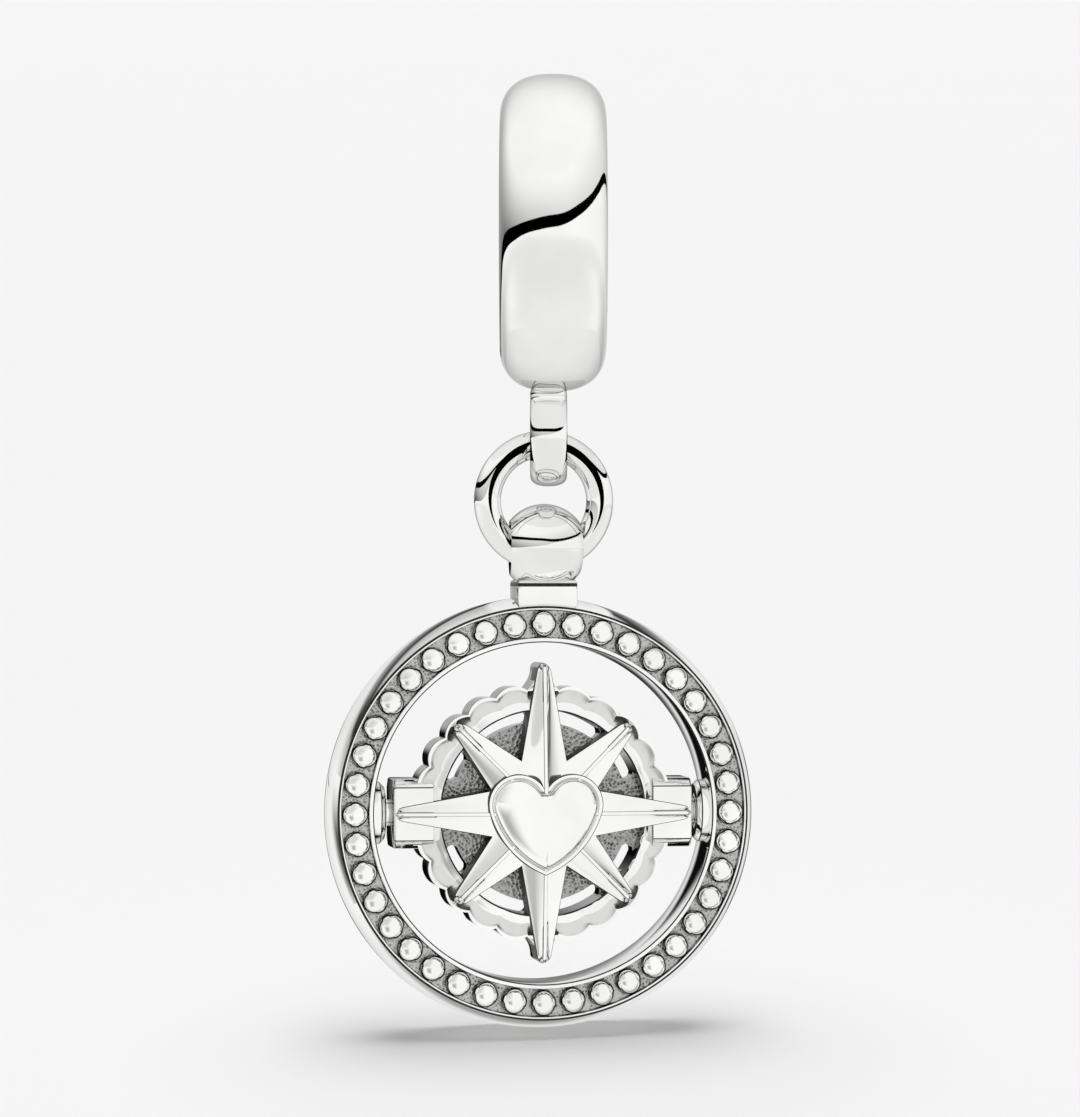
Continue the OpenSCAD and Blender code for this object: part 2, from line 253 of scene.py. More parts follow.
silverLook = {
    "tint": "#FAFAF9",
    "buffTint": "#F1F1F0",
    "buffSize": 2.4,  # mm across one soft patch left by the buffing wheel
    "hairSize": 0.09,  # mm between hairlines, coarser than real so that they show
    "roughLow": 0.018,
    "roughHigh": 0.05,
    "waveSize": 1.3,  # mm across the unevenness of a hand-polished casting
    "waveDepth": 0.004,
}


# Sterling silver, buffed on a wheel: a near mirror whose reflections wobble very slightly. The edge tint is
# what it keeps of the light at a grazing slant, which draws a soft thin outline
def polishedSilver(name, edgeTint):
    material, tree = newMaterial(name)
    where = addNode(tree, "ShaderNodeTexCoord").outputs["Object"]
    buff, hair, wave = (
        addNode(tree, "ShaderNodeTexNoise", {
            "Vector": where, "Scale": perMetre(silverLook[size]), "Detail": detail,
        }).outputs["Fac"]
        for size, detail in (("buffSize", 3.0), ("hairSize", 2.0), ("waveSize", 1.0))
    )
    tint = addNode(tree, "ShaderNodeValToRGB", {"Fac": buff})
    low, high = tint.color_ramp.elements
    low.position, low.color = 0.35, linear(silverLook["buffTint"])
    high.position, high.color = 0.65, linear(silverLook["tint"])
    rough = addNode(tree, "ShaderNodeMapRange", {
        "Value": hair,
        "From Min": 0.3,
        "From Max": 0.75,
        "To Min": silverLook["roughLow"],
        "To Max": silverLook["roughHigh"],
    })
    finishMetal(tree, tint, rough.outputs["Result"], wave, silverLook["waveDepth"], edgeTint)
    return material


# Bright and dark tones, mm between grains, roughness and mm of grain depth
recessLooks = {
    "channel": {"bright": "#C8C8C7", "dark": "#585858", "grain": 0.09, "rough": 0.38, "depth": 0.012},
    "plate": {"bright": "#B6B6B5", "dark": "#404040", "grain": 0.1, "rough": 0.36, "depth": 0.02},
    "groove": {"bright": "#DCDCDB", "dark": "#D4D4D3", "grain": 0.3, "rough": 0.25, "depth": 0.0},
    # line: near-black painted shade, drawn as thin dark lines along edges and into creases, partly oxide in
    # the creases
    "line": {"bright": "#3A3A3A", "dark": "#141414", "grain": 0.2, "rough": 0.45, "depth": 0.004},
    "blotchSize": 0.8,  # mm across the patches where the oxide was polished away
}


# Sterling silver with a grained, oxidised recess: a grey bed of small dark pits that sets off the relief.
# With the near-black look it makes the painted shade line
def oxidisedSilver(name, look):
    material, tree = newMaterial(name)
    where = addNode(tree, "ShaderNodeTexCoord").outputs["Object"]
    grain = addNode(tree, "ShaderNodeTexVoronoi", {"Vector": where, "Scale": perMetre(look["grain"])})
    blotch = addNode(tree, "ShaderNodeTexNoise", {
        "Vector": where, "Scale": perMetre(recessLooks["blotchSize"]), "Detail": 4.0, "Roughness": 0.7,
    })
    shade = addNode(tree, "ShaderNodeMath", {
        0: grain.outputs["Distance"], 1: blotch.outputs["Fac"],
    }, operation="ADD")
    tone = addNode(tree, "ShaderNodeValToRGB", {"Fac": shade.outputs["Value"]})
    low, high = tone.color_ramp.elements
    low.position, low.color = 0.55, linear(look["dark"])
    high.position, high.color = 1.0, linear(look["bright"])
    finishMetal(tree, tone, look["rough"], grain.outputs["Distance"], look["depth"])
    return material


polished = polishedSilver("polished cast sterling silver", "#A8A8A8")
beadSilver = polishedSilver("polished turned sterling silver", "#CCCCCC")
frameSilver = polishedSilver("polished sterling silver band", "#E6E6E6")
channelBed = oxidisedSilver("satin silver channel bed", recessLooks["channel"])
plateBed = oxidisedSilver("oxidised grained silver", recessLooks["plate"])
grooveBed = oxidisedSilver("matt silver groove", recessLooks["groove"])
# Painted shade line: a dark outline along edges and shade where the relief meets, partly oxide in the creases
paintedShadeLine = oxidisedSilver("painted shade line and crease oxide", recessLooks["line"])
print("materials made")


# Bead and eye

bead = {
    "radius": 4.693,
    "width": 3.16,
    "boreRadius": 2.3,
    "boreRound": 0.06,
    "crownHeight": 1.38,
    "crownPower": 2.45,
    "bevel": 0.22,
    "eyeShift": -0.13,
    "eyeDrop": 6.05,
    "eyeHoleRadius": 0.8,
    "eyeWall": 0.65,
    "eyeWidth": 1.1,
    "eyePower": 2.4,
    "solder": {"half": (0.55, 1.0, 0.37), "level": -4.86, "power": 3.5},
}


# Half the bead's section: the rim is a superellipse |x/half width|^p + |y/crown height|^p = 1, on which
# reflections run smooth; flat sides lead in to the bevelled bore
def beadProfile(b):
    side = b["width"] / 2
    t = np.linspace(-math.pi / 2, math.pi / 2, 71)
    lift = np.abs(np.cos(t)) ** (2 / b["crownPower"])
    rim = np.stack([
        b["radius"] - b["crownHeight"] * (1 - lift),
        side * np.sign(t) * np.abs(np.sin(t)) ** (2 / b["crownPower"]),
    ], -1)
    inner = roundCorners(np.array([
        [b["boreRadius"] + b["bevel"], side],
        [b["boreRadius"], side - b["bevel"]],
        [b["boreRadius"], -side + b["bevel"]],
        [b["boreRadius"] + b["bevel"], -side],
    ]), b["boreRound"], 4)
    return np.vstack([rim, inner])


# Superellipse |a/A|^p + |b/B|^p = 1 as (distance, height) points round a middle distance
def superellipse(middle, halfThick, halfWide, power, count):
    t = np.linspace(0, 2 * math.pi, count, endpoint=False)
    curve = np.stack([np.cos(t), np.sin(t)], -1)
    curve = np.sign(curve) * np.abs(curve) ** (2 / power)
    return curve * [halfThick, halfWide] + [middle, 0]


# Solder between bead and eye: the ball's rays drawn out to |x/a|^p + |y/b|^p + |z/c|^p = 1
def solderBlock(b):
    s = b["solder"]
    ball, _ = unitBall(24, 64)
    ball /= (np.abs(ball) ** s["power"]).sum(-1, keepdims=True) ** (1 / s["power"])
    poles = np.array([[0, 0, -1], [0, 0, 1]])
    place = np.array([b["eyeShift"], 0, s["level"]])
    return gridShell(ball * s["half"] + place, closeRows=False, poles=poles * s["half"] + place)


beadBand = alongX(lathe(beadProfile(bead), 288))
eyeMiddle = bead["eyeHoleRadius"] + bead["eyeWall"] / 2
eyeSection = superellipse(eyeMiddle, bead["eyeWall"] / 2, bead["eyeWidth"] / 2, bead["eyePower"], 48)
eyeBand = moved(alongX(lathe(eyeSection, 112)), x=bead["eyeShift"], z=-bead["eyeDrop"])
layMesh("carrierBead", [gridShell(beadBand)], [beadSilver], "bead", "carrier_bead")
layMesh("beadEye", [gridShell(eyeBand), solderBlock(bead)], [polished],
        "bead", "carrier_bead")
print("bead and eye laid")


# Jump ring

jumpRing = {"meanRadius": 1.68, "wireRadius": 0.4, "segments": 176, "wireSteps": 44}


# Torus: a round wire section carried round a circle that lies in the drop's own plane
def ringWire(r):
    section = superellipse(r["meanRadius"], r["wireRadius"], r["wireRadius"], 2, r["wireSteps"])
    return onDrop(lathe(section, r["segments"])) - dropMiddle + ringMiddle


layMesh("jumpRing", [gridShell(ringWire(jumpRing))], [polished], "ring", "jump_ring")
print("jump ring laid")


# Frame

frameSizes = {
    "radius": 6.363,
    "openingRadius": 5.02,
    "halfDepth": 1.1,
    "bulge": 0.3,
    "channelIn": 5.16,
    "channelOut": 5.98,
    "channelDepth": 0.25,
    "rimRound": 0.035,
    "bedRound": 0.03,
    "backRound": 0.06,
    "wallTrim": 0.05,  # mm by which the wall's arc stops short of the front and back edges
    "paintedShadeRows": (slice(35, 39), slice(60, 65)),  # of the section that carry the painted shade line: front edge of the opening and of the wall
    "bossFace": 4.62,
    "bossRadius": 0.92,
    "bossBevel": 0.14,
    "bossHole": 0.43,
    "bossHoleDepth": 0.85,
    "bossMargin": 0.05,  # mm of the inner rim that the boss's foot leaves free
    "bossAxis": 0.05,  # mm that the boss's section stays clear of its own axis
    "bossShadeRows": [6, 7, 9, 10],  # rows of the boss's section along both edges of its bevel, which carry the painted shade line
}


# Section of the frame: two narrow rims stand beside a flat channel, and the outer wall is one shallow arc
# from the front edge over the bulge at mid depth to the back edge
def frameProfile(f):
    h, b = f["halfDepth"], f["bulge"]
    wallRadius = (h * h + b * b) / (2 * b)
    across = np.linspace(h - f["wallTrim"], -h + f["wallTrim"], 25)
    wall = np.stack([f["radius"] - wallRadius + np.sqrt(wallRadius ** 2 - across ** 2), across], -1)
    edge = f["radius"] - b
    floor = h - f["channelDepth"]
    rim, bed, rear = f["rimRound"], f["bedRound"], f["backRound"]
    opening, inner, outer = f["openingRadius"], f["channelIn"], f["channelOut"]
    corners = roundCorners(np.array([
        [edge, -h], [opening, -h], [opening, h], [inner, h],
        [inner, floor], [outer, floor], [outer, h], [edge, h],
    ]), np.array([rear, rear, rim, rim, bed, bed, rim, rim]), 5)
    profile = np.vstack([wall, corners])
    height = (profile[:, 1] + np.roll(profile[:, 1], -1)) / 2
    distance = (profile[:, 0] + np.roll(profile[:, 0], -1)) / 2
    inChannel = (distance > inner - 0.01) & (distance < outer + 0.01) & (height > 0)
    slot = (inChannel & (height < h - 0.06)).astype(int)
    # Painted shade line along the front edges of the opening and of the wall
    for rows in f["paintedShadeRows"]:
        slot[rows] = 2
    return profile, slot


granules = {
    "count": 40,
    "radius": 0.38,
    "circleRadius": 5.57,
    "height": 0.97,
    "rings": 20,
    "segments": 26,
    "shadeLineTop": 10.0,  # latitude up to which the painted shade line, partly oxide, reaches at a granule's foot
}


# Granule: a ball whose lower rows carry the painted shade round its foot, partly oxide, its two poles single
# points
def granuleBall(g):
    ball, latitude = unitBall(g["rings"], g["segments"])
    foot = (latitude[:-1] < math.radians(g["shadeLineTop"])).astype(int)
    poles = ([0, 0, -g["radius"]], [0, 0, g["radius"]])
    return gridShell(g["radius"] * ball, closeRows=False, material=foot, poles=poles)


# Boss: a short bevelled cylinder from the opening's wall inwards, with a blind hole for the pin
def bossProfile(f):
    face, foot, axis = f["bossFace"], f["channelIn"] - f["bossMargin"], f["bossAxis"]
    hole = min(face + f["bossHoleDepth"], foot - 0.01)
    return roundCorners(np.array([
        [f["bossHole"], hole],
        [f["bossHole"], face],
        [f["bossRadius"] - f["bossBevel"], face],
        [f["bossRadius"], face + f["bossBevel"]],
        [f["bossRadius"], foot],
        [axis, foot],
        [axis, hole],
    ]), np.array([0.02, 0.02, 0.05, 0.05, 0.02, 0.02, 0.02]), 3)


def placed(shell, way):
    points, faces, slots = shell
    return way(points), faces, slots


bandProfile, bandSlot = frameProfile(frameSizes)
bandShell = placed(gridShell(lathe(bandProfile, 320), material=bandSlot[None]), onDrop)
layMesh("frameBand", [bandShell], [frameSilver, channelBed, paintedShadeLine], "drop", "frame")

granuleAngle = math.pi / 2 + np.arange(granules["count"]) * 2 * math.pi / granules["count"]
spots = np.stack([
    granules["circleRadius"] * np.cos(granuleAngle),
    granules["circleRadius"] * np.sin(granuleAngle),
    np.full(granules["count"], granules["height"]),
], -1)
layMesh("granuleRow", [placed(repeated(granuleBall(granules), spots), onDrop)], [polished, paintedShadeLine],
        "drop", "frame")

bossSection = bossProfile(frameSizes)
bossSlot = np.zeros(len(bossSection), int)
# Painted shade line round the bevel of each boss
bossSlot[frameSizes["bossShadeRows"]] = 1
bossRight = gridShell(alongX(lathe(bossSection, 72)), material=bossSlot[None])
bossLeft = placed(bossRight, lambda p: p * [-1, 1, 1])
layMesh("pivotBosses", [placed(bossRight, onDrop), placed(bossLeft, onDrop)], [polished, paintedShadeLine],
        "drop", "frame")
print("frame band, granules and bosses laid")


# Bail

bail = {
    "shift": 0.15,
    "rise": 7.88,  # ball's middle above the frame's middle
    "radius": 1.3,
    "holeDrop": 0.08,
    "holeRadius": 0.815,
    "neckRadius": 0.85,
    "neckFoot": 6.8,
    "neckTop": 7.12,
    "neckFlare": 0.08,
    "baseWidth": 1.76,
    "baseDepth": 1.9,
    "baseTop": 6.85,
    "baseFoot": 6.0,
    "baseRound": 0.12,
    "baseBevel": 0.09,
    "baseShadeLine": 0.1,  # height of the painted shade line under the bevel
}


# Ball with a round hole along x. Round the hole's axis at angle a, the rim lies at x = sqrt(R^2 - p^2),
# p its distance from the ball's middle; between the rims the outer skin is the sphere and the inner the hole
def ballSkin(b):
    angle = np.linspace(0, 2 * math.pi, 160, endpoint=False)[:, None]
    ray = np.stack([np.cos(angle), np.sin(angle)], -1)
    drop = np.array([0.0, b["holeDrop"]])  # ball's middle seen from the hole's axis
    along = (ray * drop).sum(-1)
    rim = np.sqrt(b["radius"] ** 2 - ((ray * b["holeRadius"] - drop) ** 2).sum(-1))
    t = np.sin(np.linspace(-math.pi / 2, math.pi / 2, 61))[None]
    x = rim * t
    outer = along + np.sqrt(along ** 2 - b["holeDrop"] ** 2 + b["radius"] ** 2 - x ** 2)
    back = np.linspace(1, -1, 20)[None, 1:-1]
    spread = np.concatenate([x, rim * back], 1)
    rho = np.concatenate([outer, np.full((len(angle), back.size), b["holeRadius"])], 1)
    points = np.stack([spread, rho * np.cos(angle), rho * np.sin(angle)], -1)
    return moved(points, x=b["shift"], y=b["rise"] - b["holeDrop"])


# Block: a rounded rectangle carried upwards, drawn in by the bevel at its top, closed by a pole
def baseBlock(b):
    w, d = b["baseWidth"] / 2, b["baseDepth"] / 2
    outline = roundCorners(np.array([[w, d], [-w, d], [-w, -d], [w, -d]]), b["baseRound"], 6)
    fall, inset = roundedEdge(b["baseBevel"], 6)
    top = b["baseTop"] - fall
    scale = 1 - np.concatenate([[0, 0], inset])[:, None, None] / np.array([w, d])
    rows = stacked(outline * scale, np.concatenate([[b["baseFoot"], top[0] - b["baseShadeLine"]], top]))
    rows = moved(rows[..., [0, 2, 1]], x=b["shift"])
    # The row just under the bevel carries the painted shade line
    line = (np.arange(len(rows) - 1) == 1).astype(int)
    return gridShell(rows, closeRows=False, material=line[:, None],
                     poles=([b["shift"], b["baseFoot"], 0], [b["shift"], b["baseTop"], 0]))


# Neck: a round stem that flares softly into the block at its foot
def neckStem(b):
    t = np.linspace(0, 1, 14)[:, None]
    rho = b["neckRadius"] + b["neckFlare"] * (1 - t) ** 3
    a = np.linspace(0, 2 * math.pi, 96, endpoint=False)[None]
    level = b["neckFoot"] + (b["neckTop"] - b["neckFoot"]) * t
    rows = np.stack([b["shift"] + rho * np.cos(a), level + 0 * a, rho * np.sin(a)], -1)
    return gridShell(rows, closeRows=False,
                     poles=([b["shift"], b["neckFoot"], 0], [b["shift"], b["neckTop"], 0]))


bailPieces = {
    "bailBall": gridShell(ballSkin(bail)),
    "bailNeck": neckStem(bail),
    "bailBase": baseBlock(bail),
}
for name, shell in bailPieces.items():
    layMesh(name, [placed(shell, onDrop)], [polished, paintedShadeLine], "drop", "frame")
print("bail laid")


# Compass rose

rose = {
    "front": 0.92,
    "back": 0.6,
    "plateFront": 0.2,
    "lobes": 24,
    "stepsPerLobe": 18,
    "lobeRadius": 0.64,
    "lobeCircle": 3.19,
    "hollowRadius": 3.02,
    "grooveDepth": 0.13,
    "softEdge": 0.05,  # mm that the ring's front edge is rounded down
    "lobeShadeLine": 0.19,  # mm below the front down to which the painted shade line on the lobes reaches
    "backTrim": 0.04,  # mm of the ring's bevels at the back and in the hollow
    "plateRadius": 2.66,
    "spokeAngle": 7.0,
    "spokeLevelAngle": 20.0,
    "spokeOverlap": 0.06,  # mm that a spoke reaches into the plate and into the ring
    "spokeFrontSet": 0.01,  # mm that it lies below the plate's face
    "spokeBackSet": 0.015,  # and in front of the back
}


# Scalloped ring: at angle d from a lobe's middle the edge lies at c cos d + sqrt(r^2 - (c sin d)^2).
# Across the band, from 0 at the hollow to 1 at the edge, the front sinks as a sine to make the groove
def scallopRing(r):
    steps = r["lobes"] * r["stepsPerLobe"]
    angle = np.arange(steps) * 2 * math.pi / steps + math.pi / r["lobes"]
    pitch = 2 * math.pi / r["lobes"]
    d = (angle + pitch / 2) % pitch - pitch / 2
    c = r["lobeCircle"]
    edge = c * np.cos(d) + np.sqrt(r["lobeRadius"] ** 2 - (c * np.sin(d)) ** 2)
    across = np.linspace(0, 1, 17)
    lip = np.clip((across - 0.1) / 0.8, 0, 1)
    sink = r["grooveDepth"] * np.sin(math.pi * lip) ** 0.8
    front = np.stack([across, r["front"] - sink], -1)
    fall = roundedEdge(r["softEdge"])[1][1:]
    outerEdge = np.stack([1 + 0 * fall, r["front"] - fall], -1)
    back, trim = -r["back"], r["backTrim"]
    wall = np.array([[1, r["front"] - r["lobeShadeLine"]], [1, 0.2], [1, -0.2], [1, back + trim], [0.95, back],
                     [0.05, back], [0, back + trim], [0, 0.0], [0, 0.5], [0, r["front"] - trim]])
    section = np.vstack([front[1:], outerEdge, wall])
    rho = r["hollowRadius"] + section[None, :, 0] * (edge - r["hollowRadius"])[:, None]
    ring = np.stack([
        rho * np.cos(angle)[:, None],
        rho * np.sin(angle)[:, None],
        section[None, :, 1] + 0 * rho,
    ], -1)
    slot = np.zeros(len(section), int)
    slot[5:13] = 1  # the sunk groove
    slot[17:20] = 2  # painted shade: a dark outline along the edge of the lobes
    return gridShell(ring, material=slot[None])


# Plate: a flat disc whose face is grained; its profile runs from the middle out, down and back
def plateDisc(r):
    rho = np.concatenate([np.linspace(0.1, 1, 20) * r["plateRadius"], [r["plateRadius"]] * 3, [1.5, 0.1]])
    height = np.concatenate([np.full(20, r["plateFront"]), [0.05, -0.3, -r["back"]], [-r["back"]] * 2])
    rows = lathe(np.stack([rho, height], -1), 128).transpose(1, 0, 2)
    tone = np.concatenate([np.zeros(19, int), np.ones(len(rho) - 20, int)])[:, None]
    return gridShell(rows, closeRows=False, material=tone,
                     poles=([0, 0, r["plateFront"]], [0, 0, -r["back"]]))


# Spoke under a ray: across runs from side to side, out runs from plate to ring; the sides are hollowed by
# the round ends of the slots, w = w0 + h - sqrt(h^2 - (out - middle)^2)
def spoke(r, angle, halfAngle):
    inner, outer = r["plateRadius"] - r["spokeOverlap"], r["hollowRadius"] + r["spokeOverlap"]
    middle, half = (r["plateRadius"] + r["hollowRadius"]) / 2, (r["hollowRadius"] - r["plateRadius"]) / 2
    out = np.linspace(inner, outer, 13)
    hollow = half - np.sqrt(np.clip(half ** 2 - (out - middle) ** 2, 0, None))
    wide = middle * math.radians(halfAngle) + hollow
    front, back = r["plateFront"] - r["spokeFrontSet"], r["back"] - r["spokeBackSet"]
    section = np.array([[-1, front], [-0.5, front], [0, front], [0.5, front], [1, front],
                        [1, -0.2], [1, -back], [0, -back], [-1, -back], [-1, -0.2]])
    bend = section[None, :, 0] * (wide / middle)[:, None]
    rows = np.stack([
        out[:, None] * np.cos(angle + bend),
        out[:, None] * np.sin(angle + bend),
        section[None, :, 1] + 0 * bend,
    ], -1)
    tone = (np.arange(len(section)) > 3).astype(int)
    return gridShell(rows, closeRows=False, material=tone[None], poles=(rows[0].mean(0), rows[-1].mean(0)))


rays = {
    "main": {"reach": 4.42, "rootWide": 0.72, "tipWide": 0.17},
    "small": {"reach": 3.68, "rootWide": 0.68, "tipWide": 0.18},
    "start": 0.3,  # mm from the rose's middle, under the heart
    "root": 1.3,  # where the half width is the one named rootWide
    "foot": 0.1,  # mm that rays and heart reach into the plate
    "nose": 1.6,  # length of the rounded tip in half widths
    "noseFall": 0.35,  # mm that the edge falls over the tip
    "edgeHeight": 1.12,
    "slope": 0.5,
    "round": 0.035,
    "hollow": 1.35,  # power that hollows the facets
    "spine": 0.055,  # half width of the raised spine
    "spineHeight": 0.045,
}


# Ray along x: the section is a house with upright sides and two hollow facets that rise as t^p to a narrow
# spine; its half width falls in a straight line to the tip, where a quarter ellipse closes it
def rayShell(size, angle):
    reach, tip = size["reach"], size["tipWide"]
    nose = rays["nose"] * tip
    out = np.concatenate([
        np.linspace(rays["start"], reach - nose, 16),
        reach - nose + nose * np.sin(np.linspace(0, math.pi / 2, 8))[1:],
    ])
    straight = tip + (size["rootWide"] - tip) * (reach - out) / (reach - rays["root"])
    close = np.sqrt(np.clip(1 - (np.clip(out - (reach - nose), 0, None) / nose) ** 2, 0.0025, 1))
    wide = (straight * close)[:, None]
    fall = ((1 - close) * rays["noseFall"])[:, None]
    r = np.minimum(rays["round"], 0.25 * wide)
    spine = np.minimum(rays["spine"], 0.3 * wide)
    rise = rays["slope"] * straight[:, None]
    t = np.linspace(0, 1, 7)[None]
    turn = np.linspace(0, math.pi / 2, 4)[None, :-1]
    facet = wide - r - t * (wide - r - spine)
    x = np.hstack([wide, wide - r + r * np.cos(turn), facet, spine * 0.8, 0 * wide])
    edge = rays["edgeHeight"] - fall
    lift = rays["spineHeight"] * close[:, None]
    z = np.hstack([
        rose["plateFront"] - rays["foot"] + 0 * wide,
        edge - r + r * np.sin(turn),
        edge + rise * t ** rays["hollow"],
        edge + rise + lift * 0.8,
        edge + rise + lift,
    ])
    x, z = np.hstack([x, -x[:, -2::-1]]), np.hstack([z, z[:, -2::-1]])
    c, s = math.cos(angle), math.sin(angle)
    rows = np.stack([out[:, None] * c - x * s, out[:, None] * s + x * c, z], -1)
    slot = np.zeros(x.shape[1], int)
    slot[[10, 13]] = 1  # painted shade line beside the spine
    slot[[0, 1, 2, 21, 22, 23]] = 1  # and painted shade on the upright sides up to their rounded edges
    return gridShell(rows, closeRows=False, material=slot[None], poles=(rows[0].mean(0), rows[-1].mean(0)))


webs = {
    "foot": 3.58,
    "wide": 0.5,
    "bevel": 0.05,
    "middle": 0.2,  # mm above the foot of the point towards which the outline is drawn in
    "backSet": 0.02,  # mm that a web stands in front of the ring's back
}


# Web at the foot of an upright tip: half width w = tip + (foot - tip)(1 - t)^2, a hollow flare; the outline
# is carried from back to front and drawn in a little at the front edge
def webShell(size, flip):
    t = np.linspace(0, 1, 14)
    side = np.stack([size["tipWide"] + (webs["wide"] - size["tipWide"]) * (1 - t) ** 2,
                     webs["foot"] + t * (size["reach"] - size["tipWide"] - webs["foot"])], -1)
    a = np.linspace(0, math.pi, 13)[1:-1]
    tip = size["tipWide"]
    cap = np.stack([tip * np.cos(a), size["reach"] - tip + tip * np.sin(a)], -1)
    outline = np.vstack([side, cap, side[::-1] * [-1, 1]])
    middle = np.array([0, webs["foot"] + webs["middle"]])
    rear = webs["backSet"] - rose["back"]
    fall, inset = roundedEdge(webs["bevel"])
    scale = 1 - np.concatenate([[0], inset])[:, None, None] / webs["wide"]
    ring = middle + (outline - middle) * scale
    rows = stacked(ring, np.concatenate([[rear], rose["front"] - fall])) * [1, flip, 1]
    poles = ([0, middle[1] * flip, rear], [0, middle[1] * flip, rose["front"]])
    return gridShell(rows, closeRows=False, poles=poles)


lugs = {
    "start": 3.27,
    "middle": 3.8,
    "end": 4.43,
    "half": 1.02,  # mm from the pins' axis up and down
    "front": 1.04,
    "back": 0.9,
    "bevel": 0.24,
    "round": 0.05,
    "endBevel": 0.08,
    "paintedShadeRows": [20, 21, 22, 24, 25, 26],  # of the outline, painted shade line under the two front bevels
}


# Lug: a bevelled rectangle carried along x, drawn in at its outer end
def lugShell(g, side):
    h, v = g["half"], g["bevel"]
    outline = roundCorners(np.array([
        [-h, -g["back"] + v], [-h + v, -g["back"]], [h - v, -g["back"]], [h, -g["back"] + v],
        [h, g["front"] - v], [h - v, g["front"]], [-h + v, g["front"]], [-h, g["front"] - v],
    ]), g["round"], 4)
    fall, inset = roundedEdge(g["endBevel"])
    ring = outline * (1 - np.concatenate([[0, 0], inset])[:, None, None] / h)
    rows = stacked(ring, np.concatenate([[g["start"], g["middle"]], g["end"] - fall]))
    rows = alongX(rows) * [side, 1, 1]
    slot = np.zeros(len(outline), int)
    slot[g["paintedShadeRows"]] = 1
    return gridShell(rows, closeRows=False, material=slot[None],
                     poles=([side * g["start"], 0, 0], [side * g["end"], 0, 0]))


heartSizes = {
    "width": 3.4,
    "lobeRadius": 0.9,
    "top": 1.17,
    "point": 1.8,
    "level": 1.52,
    "soft": 0.04,
    "dome": 0.42,
    "bandWide": 0.12,
    "dip": 0.06,
    "turn": -17.0,  # degrees from level at which the lobe's arc passes into the side's
    "domeMiddle": -0.15,
    "domeWide": 1.25,  # half axes of the ellipse that the dome's outlines blend into
    "domeHigh": 1.15,
    "blendPower": 0.8,
}


# Right half of the heart's outline: a lobe arc from the notch, then a flatter tangent arc to the point
def heartSide(h, count=30):
    lobe = np.array([h["width"] / 2 - h["lobeRadius"], h["top"] - h["lobeRadius"]])
    start = math.acos(-lobe[0] / h["lobeRadius"])
    turn = math.radians(h["turn"])
    u = np.array([math.cos(turn), math.sin(turn)])
    d = np.array([0, -h["point"]]) - lobe
    q = h["lobeRadius"]
    sideRadius = (d @ d + q * q - 2 * q * (d @ u)) / (2 * (q - d @ u))
    sideCentre = lobe - (sideRadius - q) * u
    finish = math.atan2(-h["point"] - sideCentre[1], -sideCentre[0])
    a = np.linspace(start, turn, count)[:, None]
    b = np.linspace(turn, finish, count)[1:, None]
    first = lobe + h["lobeRadius"] * np.hstack([np.cos(a), np.sin(a)])
    second = sideCentre + sideRadius * np.hstack([np.cos(b), np.sin(b)])
    return np.vstack([first, second])


# The half outline drawn in along its own normals; what would cross the middle line stays on it
def drawnIn(side, amount):
    along = np.gradient(side, axis=0)
    normal = np.stack([along[:, 1], -along[:, 0]], -1) / np.linalg.norm(along, axis=1, keepdims=True)
    inner = side + normal * amount
    inner[:, 0] = np.maximum(inner[:, 0], 0)
    inner[[0, -1], 0] = 0
    return inner


# Whole outline from its right half
def bothSides(side):
    return np.vstack([side, (side * [-1, 1])[-2:0:-1]])


# Heart: upright side, a flat band along the edge, a fine sunk line and then a puffed dome whose outlines
# shrink by s while they blend from the heart into an ellipse; its height is dome * sqrt(1 - s^2)
def heartShell(h):
    side = heartSide(h)
    rings, levels = [bothSides(side)], [rose["plateFront"] - rays["foot"]]
    for amount, level in (
        *((inset, h["level"] - fall) for fall, inset in zip(*roundedEdge(h["soft"]))),
        (h["bandWide"] - 0.015, h["level"] + 0.01),
        (h["bandWide"] + 0.012, h["level"] - h["dip"]),
    ):
        rings.append(bothSides(drawnIn(side, amount)))
        levels.append(level)
    inner = bothSides(drawnIn(side, h["bandWide"] + 0.04))
    polar = np.arctan2(inner[:, 1], inner[:, 0])
    middle = np.array([0, h["domeMiddle"]])
    ellipse = np.stack([h["domeWide"] * np.cos(polar), h["domeHigh"] * np.sin(polar)], -1) + middle
    rise = np.linspace(0, math.pi / 2, 15)[:-1]
    s = np.cos(rise)[:, None, None]
    blend = s ** h["blendPower"]
    dome = middle + (inner[None] * blend + ellipse[None] * (1 - blend) - middle) * s
    domeLevels = h["level"] - h["dip"] * 0.6 + (h["dome"] + h["dip"] * 0.6) * np.sin(rise)
    rows = stacked(np.concatenate([np.array(rings), dome]), np.concatenate([levels, domeLevels]))
    slot = np.zeros(len(rows) - 1, int)
    slot[:4] = 1  # painted shadow down the outside of the heart, up into its rounded edge
    return gridShell(rows, closeRows=False, material=slot[:, None],
                     poles=([0, 0, levels[0]], [*middle, h["level"] + h["dome"]]))


pins = {"inner": 3.59, "outer": 5.41, "radius": 0.39, "round": 0.015, "axis": 0.02}


# Pin: a plain round bar with softened ends; its section stays clear of its own axis by a hair
def pinShell(p, side):
    corners = np.array([
        [p["axis"], p["inner"]],
        [p["radius"], p["inner"]],
        [p["radius"], p["outer"]],
        [p["axis"], p["outer"]],
    ])
    return gridShell(alongX(lathe(roundCorners(corners, p["round"], 4), 48)) * [side, 1, 1])


